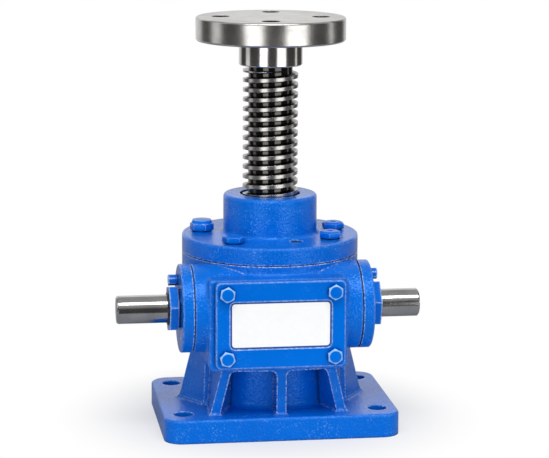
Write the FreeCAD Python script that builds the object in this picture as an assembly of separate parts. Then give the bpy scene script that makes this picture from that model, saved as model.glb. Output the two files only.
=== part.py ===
import FreeCAD, Part
import math
import os
from FreeCAD import Vector

os.makedirs("parts", exist_ok=True)

# Worm screw jack, in millimetres. Z is the lifting axis and points up.
# The origin lies on that axis, on the underside of the base plate.
# The photograph was taken from the -Y side. The worm shaft runs along X.

# Clearances.
running = 0.05
loose = 0.3

# Worm gear pair: one start worm, 24 teeth on the wheel.
gear_module = 2.5
wheel_teeth = 24
worm_pitch_r = 12.5
pressure_angle = math.radians(20.0)
backlash = 0.5
wheel_mid_z = 92.0
wheel_width = 22.0
worm_turns = 5
wheel_pitch_r = gear_module * wheel_teeth / 2
centre_distance = wheel_pitch_r + worm_pitch_r
axial_pitch = math.pi * gear_module
tooth_top = gear_module
tooth_foot = 1.25 * gear_module
worm_y = -centre_distance
worm_z = wheel_mid_z

# Thrust bearings: 55 x 78 x 16 below the wheel, 50 x 70 x 14 above it.
low_in_r, low_out_r, low_h = 27.5, 39.0, 16.0
up_in_r, up_out_r, up_h = 25.0, 35.0, 14.0
washer_t = 4.0
low_shoulder = 17.0
up_shoulder = 15.0
low_seat_z = wheel_mid_z - low_shoulder - low_h
up_bottom_z = wheel_mid_z + up_shoulder

# Lifting screw, trapezoidal 40 x 7, right-handed.
screw_r = 20.0
screw_lead = 7.0
thread_depth = 4.0
thread_crest = 0.366 * screw_lead
thread_flank = math.radians(15.0)
thread_turn = 171.85
screw_above_wheel = 3.0
screw_len = 165.0
screw_spigot_r = 16.0
screw_spigot_len = 26.0
screw_bottom_z = wheel_mid_z + screw_above_wheel
hub_bottom_z = screw_bottom_z + screw_len

# Travel below the drawn position: eleven turns of the nut.
travel_turns = 11
travel = travel_turns * screw_lead

# Round top plate with its hub.
hub_r = 23.0
hub_len = 17.5
plate_t = 17.0
plate_r = 54.0
plate_bottom_z = hub_bottom_z + hub_len
plate_top_z = plate_bottom_z + plate_t
load_circle_r = 36.0
load_hole_r = 6.5
load_hole_turn = -8.0

# Round drum of the housing and the cover on top of it.
drum_r = 64.0
drum_h = 63.0
drum_cavity_r = 41.0
cover_seat_t = 4.0
cover_t = 12.5
joint_gap = 0.6
collar_r = 34.0
collar_h = 29.0
collar_mouth_r = 22.0
mouth_depth = 8.0
wiper_t = 3.5
cover_joint_z = up_bottom_z + up_h + cover_seat_t
cover_top_z = cover_joint_z + cover_t
collar_top_z = cover_top_z + collar_h
drum_bottom_z = cover_joint_z - drum_h

# Base plate.
base_x = 169.0
base_y = 124.0
base_mid_x = 1.0
base_mid_y = -9.0
base_t = 17.0
base_corner_r = 13.0
base_hole_r = 7.0
base_hole_x = 140.0
base_hole_y = 87.0

# Tapered pedestal between base plate and drum, half widths at its foot and head.
foot_side, head_side = 67.5, 55.0
foot_front, head_front = 52.0, 50.5
foot_back, head_back = 48.5, 47.0
side_from_y, side_to_y = -6.0, 22.0
side_back_in = 7.0
shoulder_y = -30.0
core_front_y = -33.0
barrel_foot_r, barrel_head_r = 47.0, 45.5

# Front ribs below the gear box.
rib_t = 7.0
rib_mid_reach = 62.0
rib_side_reach = 58.0
rib_foot_x, rib_head_x = 45.5, 36.5
rib_inner_back = 31.0
pocket_corner_r = 4.0
foot_round = 4.0
rib_foot_round = 2.0
cast_round = 2.5

# Worm shaft, its bearings (20 x 42 x 12) and the round bosses.
shaft_r = 10.0
shaft_left_x = -115.5
shaft_right_x = 101.5
shaft_shoulder_r = 12.5
boss_half = 59.5
boss_r = 31.5
side_bearing_out_r = 21.0
side_bearing_w = 12.0
side_bearing_out = 53.0
race_t = 3.0
cap_t = 8.0
cap_gasket_t = 0.5
nut_corner_r = 17.7
nut_t = 6.5
nut_gap = 1.2
nut_spigot_r = 14.0
nut_turn = 17.0
seal_r = 12.0
seal_stand = 1.0
seal_t = 5.0
nut_neck = 13.0
journal_groove_w = 1.0
journal_groove_t = 0.3
shaft_chamfer = 1.0
lock_bolt_r = 2.0
lock_bolt_len = 6.0
lock_bolt_af = 7.0
lock_bolt_head = 6.6
lock_bolt_circle = boss_r - 10.1
lock_bolt_lean_left = 32.0
lock_bolt_lean_right = 6.0

# The gear box in front of the drum sits a little to the left of the screw.
box_mid_x = -3.0
box_left = 50.0
box_right = 48.0
box_low = 39.0
box_high = 26.0
box_wall = 12.0
box_front_y = worm_y - boss_r - 0.4
box_bottom_z = worm_z - box_low
box_top_z = worm_z + box_high

# Front cover plate with the blank label.
front_margin = 4.0
front_h = 62.0
front_drop = 5.5
front_t = 4.5
front_gasket_t = 0.6
front_corner_r = 4.0
front_bolt_inset = 8.0
front_bolt_r = 3.0
front_mid_z = worm_z - front_drop
front_half_x = box_left - front_margin
front_bolt_x = 2 * (front_half_x - front_bolt_inset)
front_bolt_z = front_h - 2 * front_bolt_inset
label_x = 69.0
label_z = 31.0
label_t = 0.6
label_sink = 0.4
label_rim = 1.3

# Fasteners of the cover.
cover_bolt_angles = (-130.0, -35.0, 9.0, 60.0, 112.0)
cover_bolt_r = 4.0
cover_bolt_len = 22.0
cover_bolt_af = 13.0
cover_bolt_head = 5.3
cover_bolt_wall = 3.5
cover_bolt_circle = drum_cavity_r + cover_bolt_r + cover_bolt_wall
tap_room = 3.0
plug_angle = 166.0
plug_r = 6.0
plug_len = 16.0
plug_af = 17.0
plug_head = 7.5
plug_dome_r = 7.6
plug_dome_h = 9.2
plug_wall = 3.0
plug_circle = drum_cavity_r + plug_r + plug_wall
oil_way_r = 2.5
grease_circle = 40.5
grease_angle = -70.0
grease_r = 4.5
grease_depth = 9.0
grease_sink = 1.2

# Lower end: stop washer on the screw and the closing disc in the base.
stop_r = 22.0
stop_t = 4.0
stop_room = 0.6
over_travel = 2.5
stop_bolt_r = 5.0
stop_bolt_len = 18.0
stop_bolt_af = 17.0
stop_bolt_head = 6.4
well_r = 24.0
disc_r = 40.0
disc_t = 4.0
disc_screw_circle = 32.0
disc_screw_r = 2.5
disc_screw_len = 14.0

X = Vector(1, 0, 0)
Y = Vector(0, 1, 0)
Z = Vector(0, 0, 1)


def save(name, shape):
    shape.exportStep("parts/" + name + ".step")


def rod_z(radius, z0, z1, x=0.0, y=0.0):
    return Part.makeCylinder(radius, z1 - z0, Vector(x, y, z0), Z)


def rod_x(radius, x0, x1, y=worm_y, z=worm_z):
    return Part.makeCylinder(radius, x1 - x0, Vector(x0, y, z), X)


def rod_y(radius, y0, y1, x, z):
    return Part.makeCylinder(radius, y1 - y0, Vector(x, y0, z), Y)


def ring_z(r_in, r_out, z0, z1):
    return rod_z(r_out, z0, z1).cut(rod_z(r_in, z0 - 1, z1 + 1))


def ring_x(r_in, r_out, x0, x1):
    return rod_x(r_out, x0, x1).cut(rod_x(r_in, x0 - 1, x1 + 1))


def block(x0, x1, y0, y1, z0, z1):
    return Part.makeBox(x1 - x0, y1 - y0, z1 - z0, Vector(x0, y0, z0))


def edges_along(shape, direction):
    found = []
    for edge in shape.Edges:
        if len(edge.Vertexes) == 2 and edge.Curve.TypeId == "Part::GeomLine":
            if abs(abs(edge.Curve.Direction.dot(direction)) - 1) < 1e-6:
                found.append(edge)
    return found


def rounded_block(x0, x1, y0, y1, z0, z1, radius, direction):
    shape = block(x0, x1, y0, y1, z0, z1)
    return shape.makeFillet(radius, edges_along(shape, direction))


def circle_edges(shape, radius, axis_value, axis=Z):
    found = []
    for edge in shape.Edges:
        if edge.Curve.TypeId == "Part::GeomCircle" and abs(edge.Curve.Radius - radius) < 0.01:
            if abs(edge.Curve.Center.dot(axis) - axis_value) < 0.01:
                found.append(edge)
    return found


def fuse_all(shapes):
    result = shapes[0].multiFuse(shapes[1:])
    return result.removeSplitter()


def polar(radius, degrees):
    angle = math.radians(degrees)
    return radius * math.cos(angle), radius * math.sin(angle)


def hexagon(across_flats, height, centre, axis, turn=0.0):
    corner = across_flats / math.sqrt(3)
    points = []
    for k in range(7):
        x, y = polar(corner, 60 * k + turn)
        points.append(Vector(x, y, 0))
    prism = Part.Face(Part.makePolygon(points)).extrude(Vector(0, 0, height))
    # The outer corners are chamfered by a shallow cone.
    cone = Part.makeCone(corner + height * 1.7, corner * 0.88, height * 1.0 + corner * 0.07)
    prism = prism.common(cone)
    prism.Placement = FreeCAD.Placement(centre, FreeCAD.Rotation(Z, axis))
    return prism


def hex_bolt(radius, length, across_flats, head, seat, axis, turn=0.0, dimple=0.0):
    # The axis points from the seat out through the head.
    shank = Part.makeCylinder(radius, length, seat - axis * length, axis)
    top = hexagon(across_flats, head, seat, axis, turn)
    bolt = shank.fuse(top).removeSplitter()
    if dimple > 0:
        place = seat + axis * (head - 1.2)
        bolt = bolt.cut(Part.makeCylinder(dimple, 3.0, place, axis))
    return bolt


def loft_up(outline, levels):
    # The outline is a function of the height and of how far it is widened.
    wires = []
    for z, wider in levels:
        ring = [Vector(x, y, z) for x, y in outline(z, wider)]
        wires.append(Part.makePolygon(ring + ring[:1]))
    return Part.makeLoft(wires, True, True)


def hollow_round(z, radius):
    # Levels of the hollow corner that the foundry leaves where a wall meets the plate.
    levels = []
    for degrees in (0, 30, 60, 90):
        t = math.radians(degrees)
        levels.append((z + radius * (1 - math.cos(t)), radius * (1 - math.sin(t))))
    return levels


# HOUSING

def bolt_places(spacing_x, spacing_y, mid_x, mid_y):
    places = []
    for sx in (-0.5, 0.5):
        for sy in (-0.5, 0.5):
            places.append((mid_x + sx * spacing_x, mid_y + sy * spacing_y))
    return places


def base_plate():
    x0 = base_mid_x - base_x / 2
    y0 = base_mid_y - base_y / 2
    plate = rounded_block(x0, x0 + base_x, y0, y0 + base_y, 0, base_t, base_corner_r, Z)
    rim = [e for e in plate.Edges if abs(e.BoundBox.ZMin - base_t) < 0.01]
    return plate.makeFillet(1.8, rim)


def between(low, high, z, z_low, z_high):
    return low + (high - low) * (z - z_low) / (z_high - z_low)


def pedestal_outline(z, wider):
    # Right half from the front to the back, then mirrored.
    top = drum_bottom_z + 6
    side = between(foot_side, head_side, z, base_t, top) + wider
    front = between(foot_front, head_front, z, base_t, top) + wider
    back = between(foot_back, head_back, z, base_t, top) + wider
    half = [(front - 12, core_front_y - wider), (front, shoulder_y), (side, side_from_y),
            (side - side_back_in, side_to_y), (back, back)]
    return half + [(-x, y) for x, y in reversed(half)]


def barrel():
    height = drum_bottom_z - base_t + 4
    plate = rod_z(barrel_foot_r + 2 * foot_round, base_t - 1, base_t)
    body = Part.makeCone(barrel_foot_r, barrel_head_r, height, Vector(0, 0, base_t - 0.5), Z)
    body = body.fuse(plate).removeSplitter()
    foot = [e for e in body.Edges if e.Curve.TypeId == "Part::GeomCircle"
            and abs(e.BoundBox.ZMin - base_t) < 0.01 and e.Curve.Radius < barrel_foot_r + 1]
    return body.makeFillet(foot_round, foot)


def pedestal():
    levels = [(base_t - 1, foot_round)] + hollow_round(base_t, foot_round) + [(drum_bottom_z + 6, 0)]
    return loft_up(pedestal_outline, levels).fuse(barrel())


def web_outline(z, wider):
    # The block follows the ribs: furthest forward at the middle one.
    top = box_bottom_z + 1
    rise = between(0, 1.5, z, base_t, top) + wider
    mid = rib_t / 2 + wider
    side = between(rib_foot_x, rib_head_x, z, base_t, top) + mid
    back = shoulder_y + 8
    return [(box_mid_x / 2 - side, -rib_side_reach - rise), (-mid, -rib_mid_reach - rise),
            (mid, -rib_mid_reach - rise), (box_mid_x / 2 + side, -rib_side_reach - rise),
            (head_front - 2, back), (-head_front + 2, back)]


def pocket_outline(side, z, wider):
    # From well in front of the ribs back to the barrel; the foot narrows it.
    mid = rib_t / 2 + wider
    inner = between(rib_foot_x, rib_head_x, z, base_t, box_bottom_z + 1) - mid
    shift = box_mid_x / 2
    front = -rib_mid_reach - 10
    return [(side * mid, front), (side * inner + shift, front), (side * inner + shift, -rib_side_reach),
            (side * (rib_inner_back - wider) + shift, shoulder_y), (side * mid, shoulder_y)]


def pocket(side):
    roof_z = box_bottom_z - 4

    def outline(z, wider):
        return pocket_outline(side, z, wider)

    body = loft_up(outline, hollow_round(base_t, rib_foot_round) + [(roof_z, 0)])
    roof = [e for e in body.Edges if e.BoundBox.ZMin > roof_z - 0.1]
    along = [e for e in roof if e.BoundBox.YLength > 10]
    return body.makeFillet(pocket_corner_r, along)


def front_webs():
    # Block below the gear box, opened by two pockets that leave three ribs.
    levels = [(base_t - 1, rib_foot_round)] + hollow_round(base_t, rib_foot_round)
    webs = loft_up(web_outline, levels + [(box_bottom_z + 1, 0)])
    return webs.cut([pocket(-1), pocket(1)])


def drum():
    body = rod_z(drum_r, drum_bottom_z, cover_joint_z - joint_gap / 2)
    return body.makeChamfer(5.0, circle_edges(body, drum_r, drum_bottom_z))


def gear_box():
    x0 = box_mid_x - box_left
    x1 = box_mid_x + box_right
    box = block(x0, x1, box_front_y, 0, box_bottom_z, box_top_z)
    front = [e for e in box.Edges if abs(e.BoundBox.YMin - box_front_y) < 0.01]
    sides = [e for e in front if e.BoundBox.YLength > 5]
    box = box.makeFillet(3.5, sides)
    rim = [e for e in box.Edges if e.BoundBox.YMax < box_front_y + 0.01]
    return box.makeFillet(1.5, rim)


def boss_ends():
    return box_mid_x - boss_half, box_mid_x + boss_half


def bosses():
    x0, x1 = boss_ends()
    body = rod_x(boss_r, x0, x1)
    rims = circle_edges(body, boss_r, x0, X) + circle_edges(body, boss_r, x1, X)
    return body.makeFillet(1.0, rims)


def upper_casting():
    # Drum, gear box and bosses, with the hollow rounds of the casting between them.
    body = fuse_all([drum(), gear_box(), bosses()])
    joints = circle_edges(body, drum_r, box_top_z)
    joints += circle_edges(body, boss_r, box_mid_x - box_left, X)
    joints += circle_edges(body, boss_r, box_mid_x + box_right, X)
    return body.makeFillet(cast_round, joints)


def housing_outside():
    return fuse_all([base_plate(), pedestal(), front_webs(), upper_casting()])


def front_opening():
    half_x = front_bolt_x / 2 - 8
    half_z = front_bolt_z / 2 - 8
    return rounded_block(box_mid_x - half_x, box_mid_x + half_x, box_front_y - 2, worm_y,
                         front_mid_z - half_z, front_mid_z + half_z, 6, Y)


def housing():
    shell = housing_outside()
    tools = []
    tools.append(rod_z(well_r, -1, low_seat_z + 1))
    tools.append(rod_z(disc_r, -1, disc_t))
    tools.append(rod_z(low_out_r + running, low_seat_z, low_seat_z + low_h + 2))
    tools.append(rod_z(drum_cavity_r, low_seat_z + low_h, cover_joint_z + 1))
    x0 = box_mid_x - box_left + box_wall
    x1 = box_mid_x + box_right - box_wall
    room = worm_pitch_r + tooth_top + 5
    tools.append(block(x0, x1, worm_y - room, -10, worm_z - room, worm_z + room))
    b0, b1 = boss_ends()
    tools.append(rod_x(side_bearing_out_r, b0 - 1, b1 + 1))
    # The drum is faced flat where a bearing cap passes it.
    tools.append(rod_x(boss_r + 0.5, b0 - 12, b0))
    tools.append(rod_x(boss_r + 0.5, b1, b1 + 12))
    tools.append(front_opening())
    # The joint face is milled flat, so nothing stands above it.
    joint_face = cover_joint_z - joint_gap / 2
    tools.append(block(-base_x, base_x, -base_y, base_y, joint_face, joint_face + base_t))
    for x, y in bolt_places(base_hole_x, base_hole_y, base_mid_x, base_mid_y):
        tools.append(rod_z(base_hole_r, -1, base_t + 1, x, y))
    for angle in cover_bolt_angles:
        x, y = polar(cover_bolt_circle, angle)
        low = cover_top_z - cover_bolt_len - tap_room
        tools.append(rod_z(cover_bolt_r, low, cover_joint_z + 1, x, y))
    x, y = polar(plug_circle, plug_angle)
    oil_z = cover_top_z - plug_len - oil_way_r
    tools.append(rod_z(plug_r, oil_z - oil_way_r, cover_joint_z + 1, x, y))
    # Oil way from the filler into the drum.
    oil_len = plug_circle - drum_cavity_r + 5
    tools.append(Part.makeCylinder(oil_way_r, oil_len, Vector(x, y, oil_z), Vector(-x, -y, 0)))
    for x, z in bolt_places(front_bolt_x, front_bolt_z, box_mid_x, front_mid_z):
        tools.append(rod_y(front_bolt_r, box_front_y - 1, box_front_y + 12, x, z))
    for x, y in disc_screw_places():
        tools.append(rod_z(disc_screw_r, 0, disc_screw_len + 2, x, y))
    return shell.cut(tools)


# TOP COVER

def top_cover():
    z0 = cover_joint_z + joint_gap / 2
    disc = rod_z(drum_r, z0, cover_top_z)
    disc = disc.makeFillet(1.5, circle_edges(disc, drum_r, cover_top_z))
    collar = rod_z(collar_r, z0, collar_top_z)
    collar = collar.makeFillet(2.2, circle_edges(collar, collar_r, collar_top_z))
    body = disc.fuse(collar).removeSplitter()
    body = body.makeFillet(3.5, circle_edges(body, collar_r, cover_top_z))
    spigot_z = up_bottom_z + 7
    spigot = ring_z(up_out_r + running, drum_cavity_r - running, spigot_z, z0 + 1)
    seat = ring_z(up_in_r + 2, drum_cavity_r - 1, up_bottom_z + up_h, z0 + 1)
    body = body.fuse([spigot, seat]).removeSplitter()
    tools = [rod_z(up_in_r + 1.5, up_bottom_z, collar_top_z - mouth_depth)]
    tools.append(rod_z(collar_mouth_r, up_bottom_z, collar_top_z + 1))
    for angle in cover_bolt_angles:
        x, y = polar(cover_bolt_circle, angle)
        tools.append(rod_z(cover_bolt_r, z0 - 1, cover_top_z + 1, x, y))
    x, y = polar(plug_circle, plug_angle)
    tools.append(rod_z(plug_r, z0 - 1, cover_top_z + 1, x, y))
    x, y = polar(grease_circle, grease_angle)
    tools.append(rod_z(grease_r, cover_top_z - grease_depth, cover_top_z + 1, x, y))
    return body.cut(tools)


def cover_gasket():
    half = joint_gap / 2
    gasket = ring_z(drum_cavity_r, drum_r - 0.8, cover_joint_z - half, cover_joint_z + half)
    holes = []
    for angle in cover_bolt_angles:
        x, y = polar(cover_bolt_circle, angle)
        holes.append(rod_z(cover_bolt_r, cover_joint_z - 5, cover_joint_z + 5, x, y))
    x, y = polar(plug_circle, plug_angle)
    holes.append(rod_z(plug_r, cover_joint_z - 5, cover_joint_z + 5, x, y))
    return gasket.cut(holes)


def cover_bolts():
    bolts = []
    for k, angle in enumerate(cover_bolt_angles):
        x, y = polar(cover_bolt_circle, angle)
        seat = Vector(x, y, cover_top_z)
        bolts.append(hex_bolt(cover_bolt_r, cover_bolt_len, cover_bolt_af, cover_bolt_head,
                              seat, Z, 17 * k, 2.2))
    return Part.makeCompound(bolts)


def filler_plug():
    x, y = polar(plug_circle, plug_angle)
    seat = Vector(x, y, cover_top_z)
    plug = hex_bolt(plug_r, plug_len, plug_af, plug_head, seat, Z, 10)
    top = cover_top_z + plug_dome_h
    dome = rod_z(plug_dome_r, cover_top_z + plug_head - 0.5, top, x, y)
    dome = dome.makeFillet(1.2, circle_edges(dome, plug_dome_r, top))
    return plug.fuse(dome).removeSplitter()


def grease_plug():
    x, y = polar(grease_circle, grease_angle)
    plug = rod_z(grease_r, cover_top_z - grease_depth, cover_top_z - grease_sink, x, y)
    return plug.cut(rod_z(1.6, cover_top_z - 4, cover_top_z, x, y))


def screw_wiper():
    top = collar_top_z - mouth_depth
    return ring_z(screw_r + 2 * running, up_in_r + 1.5, top - wiper_t, top)


# LIFTING SCREW

def screw_thread():
    # One helical ridge that starts below the screw and ends above it.
    foot = 0.4
    core_r = screw_r - thread_depth
    half = thread_crest / 2
    foot_half = half + (thread_depth + foot) * math.tan(thread_flank)
    turns = math.ceil(screw_len / screw_lead) + 2
    helix = Part.makeHelix(screw_lead, turns * screw_lead, screw_r)
    points = [Vector(core_r - foot, 0, -foot_half), Vector(screw_r, 0, -half),
              Vector(screw_r, 0, half), Vector(core_r - foot, 0, foot_half)]
    profile = Part.makePolygon(points + points[:1])
    ridge = Part.Wire(helix).makePipeShell([profile], True, True)
    ridge.rotate(Vector(), Z, thread_turn)
    ridge.translate(Vector(0, 0, screw_bottom_z - screw_lead))
    return ridge.common(rod_z(screw_r + 2, screw_bottom_z, hub_bottom_z))


def lead_screw():
    core = rod_z(screw_r - thread_depth, screw_bottom_z, hub_bottom_z)
    body = core.fuse(screw_thread())
    spigot = rod_z(screw_spigot_r, hub_bottom_z - 1, hub_bottom_z + screw_spigot_len)
    body = body.fuse(spigot).removeSplitter()
    return body.cut(rod_z(stop_bolt_r, screw_bottom_z - 1, screw_bottom_z + stop_bolt_len + tap_room))


def top_plate():
    disc = rod_z(plate_r, plate_bottom_z, plate_top_z)
    edges = circle_edges(disc, plate_r, plate_bottom_z) + circle_edges(disc, plate_r, plate_top_z)
    disc = disc.makeFillet(1.5, edges)
    hub = rod_z(hub_r, hub_bottom_z, plate_bottom_z + 1)
    hub = hub.makeChamfer(0.8, circle_edges(hub, hub_r, hub_bottom_z))
    body = disc.fuse(hub).removeSplitter()
    tools = [rod_z(screw_spigot_r, hub_bottom_z - 1, hub_bottom_z + screw_spigot_len)]
    for k in range(4):
        x, y = polar(load_circle_r, load_hole_turn + 90 * k)
        tools.append(rod_z(load_hole_r, plate_bottom_z - 1, plate_top_z + 1, x, y))
    z = hub_bottom_z + hub_len / 2
    tools.append(rod_y(3.0, screw_spigot_r - 1, hub_r + 1, 0, z))
    return body.cut(tools)


def plate_lock_screw():
    z = hub_bottom_z + hub_len / 2
    # The flat point stops against the curve of the screw's spigot.
    start = math.sqrt(screw_spigot_r ** 2 - 9) + loose
    screw = rod_y(3.0, start, hub_r - 0.8, 0, z)
    socket = hexagon(3.0, 3.0, Vector(0, hub_r - 3.0, z), Y)
    return screw.cut(socket)


def stop_washer():
    return ring_z(stop_bolt_r, stop_r, screw_bottom_z - stop_t, screw_bottom_z)


def stop_bolt():
    seat = Vector(0, 0, screw_bottom_z - stop_t)
    return hex_bolt(stop_bolt_r, stop_bolt_len + stop_t, stop_bolt_af, stop_bolt_head, seat, Z * -1)


# WORM GEAR PAIR

def involute(radius, base_radius):
    angle = math.acos(base_radius / radius)
    return math.tan(angle) - angle


def wheel_outline(z, turn):
    root_r = wheel_pitch_r - tooth_foot
    tip_r = wheel_pitch_r + tooth_top
    base_r = wheel_pitch_r * math.cos(pressure_angle)
    thickness = axial_pitch / 2 - backlash / 2
    half = thickness / (2 * wheel_pitch_r) + involute(wheel_pitch_r, base_r)
    flank = [(root_r, half)]
    for k in range(5):
        r = base_r + (tip_r - base_r) * k / 4
        flank.append((r, half - involute(r, base_r)))
    points = []
    for tooth in range(wheel_teeth):
        middle = -math.pi / 2 + 2 * math.pi * tooth / wheel_teeth + turn
        for r, a in flank:
            points.append(Vector(r * math.cos(middle - a), r * math.sin(middle - a), z))
        for r, a in reversed(flank):
            points.append(Vector(r * math.cos(middle + a), r * math.sin(middle + a), z))
    return Part.makePolygon(points + points[:1])


def worm_wheel():
    # The teeth follow the lead of the worm across the width of the wheel.
    slope = axial_pitch / (2 * math.pi * worm_pitch_r)
    z0 = wheel_mid_z - wheel_width / 2
    z1 = wheel_mid_z + wheel_width / 2
    turn = slope * wheel_width / 2 / wheel_pitch_r
    teeth = Part.makeLoft([wheel_outline(z0, -turn), wheel_outline(z1, turn)], True, True)
    nut_low = low_seat_z + 2 * loose
    nut_top = collar_top_z - mouth_depth - wiper_t - 1
    body = rod_z(low_in_r, nut_low, low_seat_z + low_h)
    body = body.fuse(rod_z(low_in_r + 2.5, low_seat_z + low_h, z0 + 1))
    body = body.fuse(teeth)
    body = body.fuse(rod_z(up_in_r + 3.5, z1 - 1, up_bottom_z))
    body = body.fuse(rod_z(up_in_r, up_bottom_z, nut_top))
    body = body.removeSplitter()
    bore = rod_z(screw_r + loose, nut_low - 1, nut_top + 1)
    room = rod_z(stop_r + stop_room, nut_low - 1, screw_bottom_z + over_travel)
    return body.cut([bore, room])


def worm_thread():
    foot = 0.4
    root_r = worm_pitch_r - tooth_foot
    tip_r = worm_pitch_r + tooth_top
    half = (axial_pitch - backlash) / 4
    slope = math.tan(pressure_angle)
    inner = half + (tooth_foot + foot) * slope
    outer = half - tooth_top * slope
    height = worm_turns * axial_pitch
    helix = Part.makeHelix(axial_pitch, height, worm_pitch_r)
    points = [Vector(root_r - foot, 0, -inner), Vector(tip_r, 0, -outer),
              Vector(tip_r, 0, outer), Vector(root_r - foot, 0, inner)]
    profile = Part.makePolygon(points + points[:1])
    thread = Part.Wire(helix).makePipeShell([profile], True, True)
    thread.translate(Vector(0, 0, -height / 2))
    # Turned so that local X, Y, Z become Y, Z, X.
    thread.Placement = FreeCAD.Placement(Vector(0, worm_y, worm_z),
                                         FreeCAD.Rotation(Vector(1, 1, 1), 120)) * thread.Placement
    return thread


def worm_shaft():
    root_r = worm_pitch_r - tooth_foot
    left_in = box_mid_x - side_bearing_out + side_bearing_w
    right_in = box_mid_x + side_bearing_out - side_bearing_w
    shaft = rod_x(shaft_r, shaft_left_x, left_in + 1)
    shaft = shaft.makeChamfer(shaft_chamfer, circle_edges(shaft, shaft_r, shaft_left_x, X))
    other = rod_x(shaft_r, right_in - 1, shaft_right_x)
    other = other.makeChamfer(shaft_chamfer, circle_edges(other, shaft_r, shaft_right_x, X))
    reach = worm_turns * axial_pitch / 2 + 8
    middle = rod_x(root_r, -reach - 1, reach + 1)
    left = rod_x(shaft_shoulder_r, left_in, -reach)
    right = rod_x(shaft_shoulder_r, reach, right_in)
    centres = [Part.makeCone(1.6, 0.1, 2.0, Vector(shaft_left_x, worm_y, worm_z), X),
               Part.makeCone(1.6, 0.1, 2.0, Vector(shaft_right_x, worm_y, worm_z), X * -1)]
    # A shallow groove under the lip of each seal ends the ground journal.
    grooves = []
    for face, out in zip(boss_ends(), (-1, 1)):
        start = seal_end(face, out)
        x0, x1 = sorted((start, start - out * journal_groove_w))
        grooves.append(ring_x(shaft_r - journal_groove_t, shaft_r + 1, x0, x1))
    body = shaft.fuse([other, middle, left, right, worm_thread()])
    return body.cut(centres + grooves)


# BEARINGS

def thrust_rollers(in_r, out_r, z0, z1, count):
    radius = (z1 - z0) / 2 - 0.02
    length = (out_r - in_r) * 0.55
    start = (in_r + out_r) / 2 - length / 2
    rollers = []
    for k in range(count):
        x, y = polar(1.0, 360.0 * k / count)
        along = Vector(x, y, 0)
        place = along * start + Vector(0, 0, (z0 + z1) / 2)
        rollers.append(Part.makeCylinder(radius, length, place, along))
    return Part.makeCompound(rollers)


def side_bearing(x0):
    x1 = x0 + side_bearing_w
    outer_r = side_bearing_out_r - race_t
    inner_r = shaft_r + race_t
    outer = ring_x(outer_r, side_bearing_out_r, x0, x1)
    inner = ring_x(shaft_r, inner_r, x0, x1)
    radius = (outer_r - inner_r) / 2
    rollers = []
    for k in range(12):
        y, z = polar(inner_r + radius, 30.0 * k)
        rollers.append(rod_x(radius - 0.02, x0 + 1.5, x1 - 1.5, worm_y + y, worm_z + z))
    return outer, inner, Part.makeCompound(rollers)


# SHAFT ENDS
# Everything at the ends is drawn for a face looking along "out".

def along_x(radius, start, length, out, y=worm_y, z=worm_z):
    return Part.makeCylinder(radius, length, Vector(start, y, z), X * out)


def lock_bolt_place(out, side):
    # Two tapped holes face each other across the nut; they lean to the back.
    lean = lock_bolt_lean_left if out < 0 else lock_bolt_lean_right
    y, z = polar(lock_bolt_circle * side, 90 - lean)
    return worm_y + y, worm_z + z


def bearing_cap(face, out):
    start = face + out * cap_gasket_t
    flange = along_x(boss_r, start, cap_t, out)
    flange = flange.makeFillet(1.0, circle_edges(flange, boss_r, start + out * cap_t, X))
    spigot_len = boss_half - side_bearing_out + cap_gasket_t
    spigot = along_x(side_bearing_out_r - running, start + out * 1, spigot_len + 1, -out)
    body = flange.fuse(spigot).removeSplitter()
    end = start + out * cap_t
    tools = [along_x(nut_spigot_r, end + out * 1, cap_t + spigot_len + 2, -out)]
    for side in (-1, 1):
        y, z = lock_bolt_place(out, side)
        tools.append(along_x(lock_bolt_r, end + out * 1, lock_bolt_len + 1.5, -out, y, z))
    return body.cut(tools)


def cap_gasket(face, out):
    gasket = along_x(boss_r - 0.7, face, cap_gasket_t, out)
    return gasket.cut(along_x(side_bearing_out_r, face - out, 3, out))


def nut_end(face, out):
    return face + out * (cap_gasket_t + cap_t + nut_gap + nut_t)


def seal_end(face, out):
    return nut_end(face, out) + out * seal_stand


def gland_nut(face, out):
    end = nut_end(face, out)
    seat = end - out * nut_t
    flats = nut_corner_r * math.sqrt(3)
    head = hexagon(flats, nut_t, Vector(seat, worm_y, worm_z), X * out, out * nut_turn)
    neck = along_x(nut_spigot_r, seat + out * 1, nut_neck, -out)
    body = head.fuse(neck).removeSplitter()
    bore = along_x(shaft_r + loose, end + out * 1, nut_t + nut_neck + 5, -out)
    room = along_x(seal_r, end + out * 1, seal_t + 1, -out)
    return body.cut([bore, room])


def shaft_seal(face, out):
    end = seal_end(face, out)
    length = seal_t + seal_stand
    body = along_x(seal_r, end, length, -out)
    body = body.makeFillet(0.8, circle_edges(body, seal_r, end, X))
    return body.cut(along_x(shaft_r + running, end + out * 2, length + 4, -out))


def lock_bolt(face, out):
    y, z = lock_bolt_place(out, 1)
    seat = Vector(face + out * (cap_gasket_t + cap_t), y, z)
    return hex_bolt(lock_bolt_r, lock_bolt_len, lock_bolt_af, lock_bolt_head, seat, X * out, 0)


# FRONT COVER

def front_place():
    return box_front_y - front_gasket_t


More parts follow.
